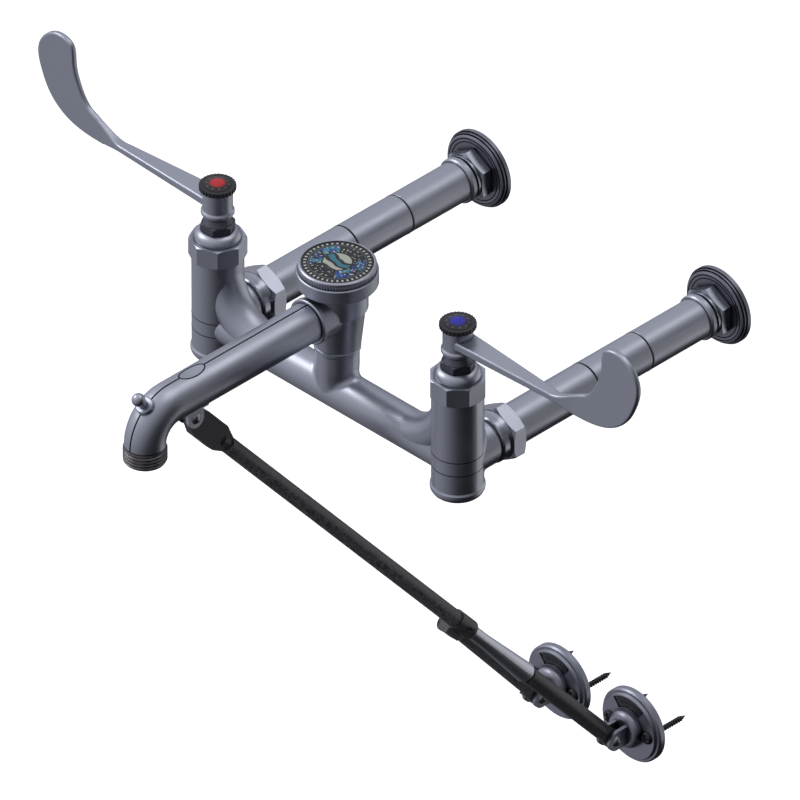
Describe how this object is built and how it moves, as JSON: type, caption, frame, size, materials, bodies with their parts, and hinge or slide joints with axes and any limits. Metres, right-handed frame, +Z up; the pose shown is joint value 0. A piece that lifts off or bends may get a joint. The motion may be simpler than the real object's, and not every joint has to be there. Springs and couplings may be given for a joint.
{
  "type": "wall-mounted service sink faucet",
  "caption": "Wall-mounted two-lever mixing faucet with long inlet arms, a vacuum breaker, a short spout with hose thread and pail hook, and a jointed brace down to the wall.",
  "frame": {"origin": "on the finished wall plane, midway between the two inlets, at the height of their axes", "axes": "+X towards the cold side, +Y into the wall, +Z up"},
  "size_m": [0.507, 0.4262, 0.5136],
  "materials": {
    "satin_chrome": "satin chrome plate on cast brass",
    "bright_chrome": "polished chrome plate",
    "black_steel": "black coated steel, slightly textured",
    "zinc_screw": "dark zinc plate",
    "brass": "machined",
    "steel": "stainless, machined",
    "ceramic": "lapped",
    "rubber": "moulded",
    "black_plastic": "moulded",
    "index_red": "moulded, domed",
    "index_blue": "moulded, domed",
    "label": "printed, plain pattern with no lettering"
  },
  "bodies": {
    "faucet": {"faucet_body": "satin_chrome", "union_nut_hot": "satin_chrome", "union_nut_cold": "satin_chrome", "union_gaskets": "rubber", "inlet_tail_hot": "satin_chrome", "inlet_tail_cold": "satin_chrome", "inlet_sleeves": "satin_chrome", "wall_nipple_hot": "satin_chrome", "wall_nipple_cold": "satin_chrome", "flange_nuts": "satin_chrome", "wall_flange_hot": "satin_chrome", "wall_flange_cold": "satin_chrome", "bonnet_hot": "satin_chrome", "bonnet_cold": "satin_chrome", "packing_nuts": "satin_chrome", "stem_packings": "rubber", "cartridges": "brass", "fixed_discs": "ceramic", "seat_seals": "rubber", "bonnet_gaskets": "rubber", "breaker_body": "satin_chrome", "air_seat": "brass", "breaker_cap": "satin_chrome", "cap_label": "label", "cap_screw": "steel", "joint_washers": "rubber", "spout": "satin_chrome", "outlet_nipple": "brass", "pail_hook": "satin_chrome", "brace_lug": "bright_chrome", "brace_pin": "steel"},
    "hot_lever": {"handle_hot": "satin_chrome", "spindle_hot": "brass", "moving_disc_hot": "ceramic", "handle_screw_hot": "steel", "index_ring_hot": "black_plastic", "index_button_hot": "index_red"},
    "cold_lever": {"handle_cold": "satin_chrome", "spindle_cold": "brass", "moving_disc_cold": "ceramic", "handle_screw_cold": "steel", "index_ring_cold": "black_plastic", "index_button_cold": "index_blue"},
    "float": {"breaker_float": "brass", "float_disc": "rubber"},
    "brace_upper": {"brace_tube": "black_steel", "brace_end": "black_steel", "brace_collar": "black_steel", "brace_set_screw": "zinc_screw", "stay_pin": "steel"},
    "brace_lower": {"brace_rod": "bright_chrome", "brace_foot": "black_steel"},
    "foot_right": {"brace_flange_right": "satin_chrome", "foot_pin_right": "steel", "wall_screws_right": "zinc_screw"},
    "stay": {"stay_rod": "black_steel"},
    "foot_left": {"brace_flange_left": "satin_chrome", "foot_pin_left": "steel", "wall_screws_left": "zinc_screw"}
  },
  "joints": [
    {"name": "hot_lever_turn", "type": "hinge", "parent": "faucet", "child": "hot_lever", "pos_m": [-0.1016, -0.224, 0.086], "axis": [0, 0, 1], "range_deg": [0, 90]},
    {"name": "cold_lever_turn", "type": "hinge", "parent": "faucet", "child": "cold_lever", "pos_m": [0.1016, -0.224, 0.086], "axis": [0, 0, 1], "range_deg": [-90, 0]},
    {"name": "float_lift", "type": "slide", "parent": "faucet", "child": "float", "axis": [0, 0, 1], "range_m": [0, 0.0044]},
    {"name": "brace_swing", "type": "hinge", "parent": "faucet", "child": "brace_upper", "pos_m": [0, -0.348, 0.0411], "axis": [0.998, -0.0403, 0.0479], "range_deg": [-40, 18]},
    {"name": "brace_length", "type": "slide", "parent": "brace_upper", "child": "brace_lower", "axis": [0.0626, 0.6429, -0.7634], "range_m": [-0.015, 0.03]},
    {"name": "right_foot_tilt", "type": "hinge", "parent": "brace_lower", "child": "foot_right", "pos_m": [0.03175, -0.022, -0.346], "axis": [1, 0, 0], "range_deg": [-40, 40]},
    {"name": "stay_swing", "type": "hinge", "parent": "brace_upper", "child": "stay", "pos_m": [0.01041, -0.14282, -0.20968], "axis": [0.998, -0.0403, 0.0479], "range_deg": [-12, 12]},
    {"name": "left_foot_tilt", "type": "hinge", "parent": "stay", "child": "foot_left", "pos_m": [-0.03175, -0.022, -0.346], "axis": [1, 0, 0], "range_deg": [-40, 40]}
  ]
}
